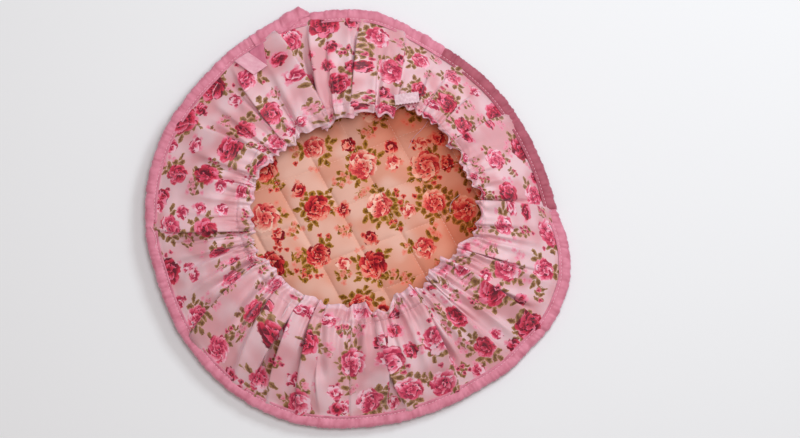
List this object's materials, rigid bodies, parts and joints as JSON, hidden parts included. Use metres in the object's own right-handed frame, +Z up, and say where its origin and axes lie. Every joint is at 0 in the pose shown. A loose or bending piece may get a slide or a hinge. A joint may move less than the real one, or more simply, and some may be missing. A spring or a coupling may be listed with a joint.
{
  "type": "elasticated quilted pot-lid cosy",
  "caption": "Round quilted lid cosy lying on its back, with a gathered skirt drawn in by elastic to a frilled mouth, a bound edge and a ribbon loop.",
  "frame": {"origin": "on the surface it lies on, under the middle of its box", "axes": "+Z up out of the mouth, +Y towards the ribbon-loop side, +X to the right as seen in the picture"},
  "size_m": [0.3712, 0.3675, 0.0408],
  "materials": {
    "lining_cotton": "matt printed cotton, peach ground with roses, quilted",
    "skirt_cotton": "matt printed cotton, pale pink ground with roses",
    "binding": "plain pink bias binding, slight sheen",
    "loop_ribbon": "pink satin ribbon",
    "elastic": "white knitted elastic"
  },
  "bodies": {
    "root": {"quilted_pad": "lining_cotton", "gathered_skirt": "skirt_cotton", "rim_binding": "binding", "hanging_loop": "loop_ribbon", "elastic_strip": "elastic"}
  },
  "joints": []
}
